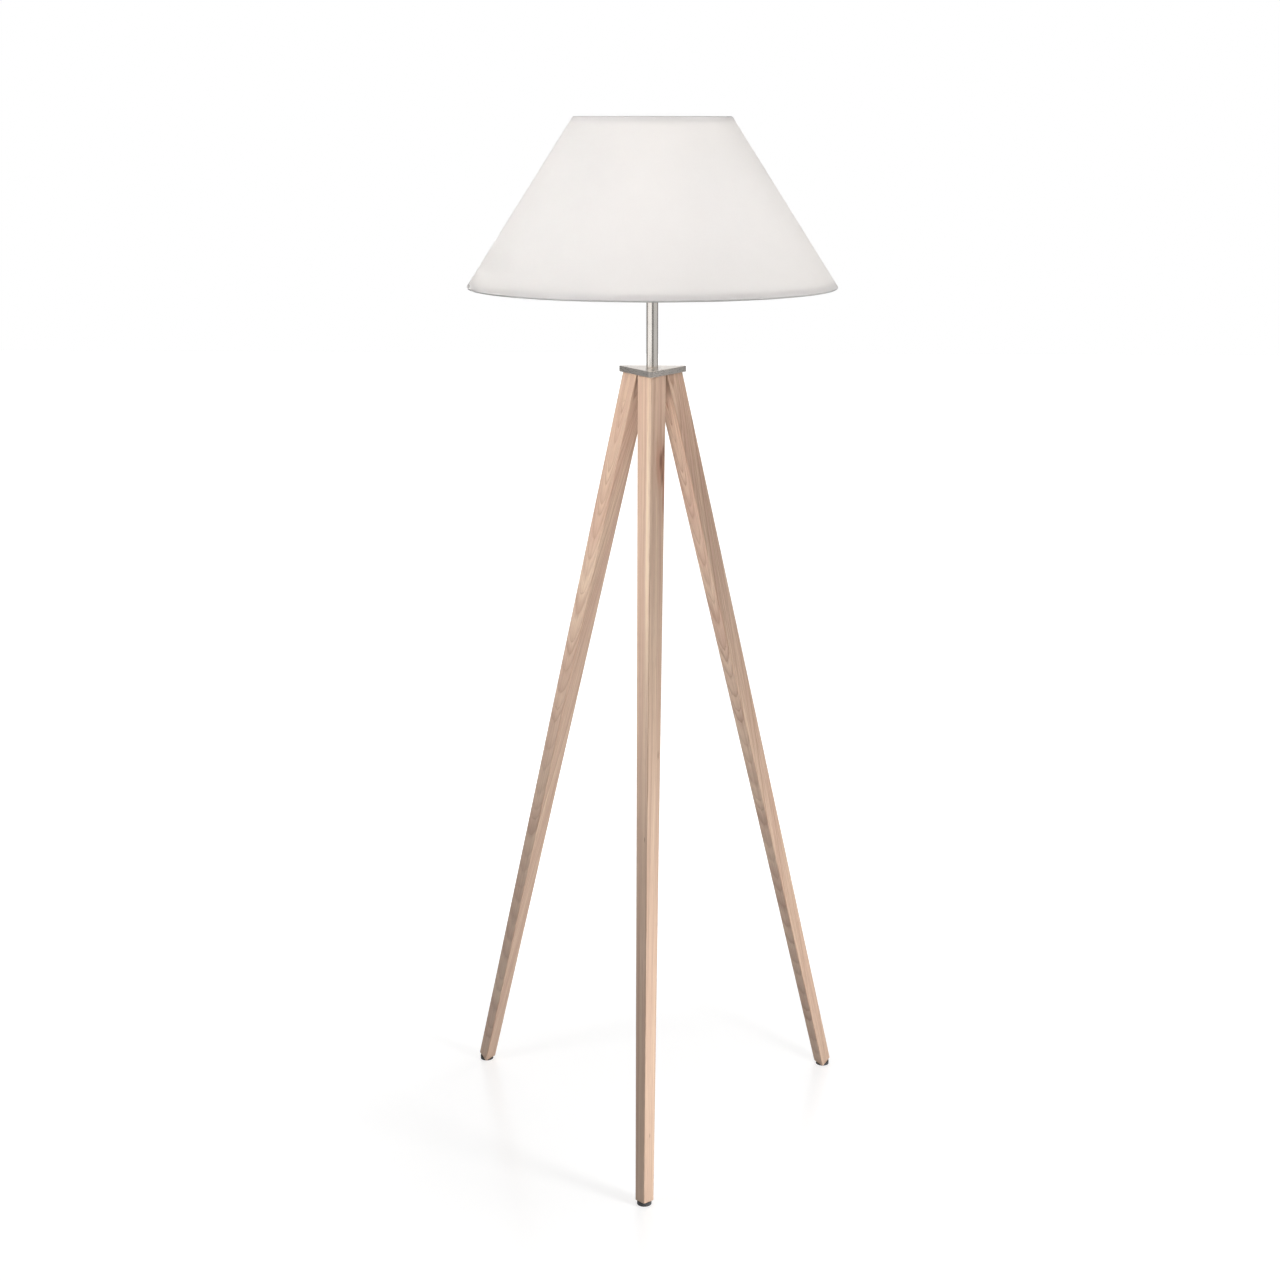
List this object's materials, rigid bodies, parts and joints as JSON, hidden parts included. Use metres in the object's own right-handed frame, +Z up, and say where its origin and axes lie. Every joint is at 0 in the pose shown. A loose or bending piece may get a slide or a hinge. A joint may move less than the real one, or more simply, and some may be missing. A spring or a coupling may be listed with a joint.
{
  "type": "tripod floor lamp",
  "caption": "Floor lamp with splayed, tapered ash legs of triangular section, a triangular satin-nickel plate, a slim pole and an off-white empire shade",
  "frame": {"origin": "middle of the footprint's box, on the floor; the pole stands 35.6 mm behind it, towards +Y", "axes": "+Z up, the front leg points to -Y, +X to the right of the front"},
  "size_m": [0.6114, 0.6359, 1.6],
  "materials": {
    "ash": "clear matt lacquer over pale ash, grain along the leg",
    "satin_nickel": "satin nickel plating",
    "zinc_steel": "zinc-plated steel",
    "brass": "plain turned brass",
    "beech": "bare beech",
    "rubber": "dark matt rubber",
    "shade_fabric": "smooth off-white fabric on a stiff backing",
    "white_wire": "white painted wire",
    "white_plastic": "white thermoplastic",
    "carrier_ceramic": "ivory glazed contact carrier",
    "black_plastic": "black plastic",
    "opal": "opal diffuser, lit from inside",
    "bulb_housing": "white lamp housing",
    "board": "board with light-emitting diodes"
  },
  "bodies": {
    "stand": {"leg_front": "ash", "leg_right": "ash", "leg_left": "ash", "foot_glides": "rubber", "glide_screws": "zinc_steel", "leg_inserts": "brass", "leg_bolts": "zinc_steel", "leg_dowels": "beech", "mounting_plate": "zinc_steel", "plate_cover": "satin_nickel", "cover_spacer": "zinc_steel", "lower_nipple": "brass", "nipple_washer": "zinc_steel", "nipple_nut": "zinc_steel", "cord_gland": "black_plastic", "pole_tube": "satin_nickel", "pole_bushes": "zinc_steel", "upper_nipple": "brass", "holder_cap": "white_plastic", "entry_grub_screw": "zinc_steel", "contact_carrier": "carrier_ceramic", "centre_contact": "brass", "side_contact": "brass", "terminal_screws": "zinc_steel", "holder_sleeve": "white_plastic"},
    "ring_nut": {"shade_ring_nut": "white_plastic"},
    "shade": {"shade_skin": "shade_fabric", "fitter_ring": "white_wire", "shade_arms": "white_wire", "shade_top_wire": "white_wire", "shade_bottom_wire": "white_wire", "shade_top_hem": "shade_fabric", "shade_bottom_hem": "shade_fabric", "shade_back_seam": "shade_fabric"},
    "bulb": {"bulb_glass": "opal", "bulb_housing": "bulb_housing", "led_board": "board", "bulb_cap": "satin_nickel", "bulb_insulator": "black_plastic", "bulb_tip": "zinc_steel"}
  },
  "joints": [
    {"name": "shade_turn", "type": "hinge", "parent": "stand", "child": "shade", "pos_m": [0, 0.03561, 1.46], "axis": [0, 0, 1], "continuous": true},
    {"name": "ring_nut_turn", "type": "hinge", "parent": "stand", "child": "ring_nut", "pos_m": [0, 0.03561, 1.467], "axis": [0, 0, 1], "range_deg": [0, 2520]},
    {"name": "bulb_turn", "type": "hinge", "parent": "stand", "child": "bulb", "pos_m": [0, 0.03561, 1.465], "axis": [0, 0, 1], "range_deg": [0, 2160]}
  ]
}
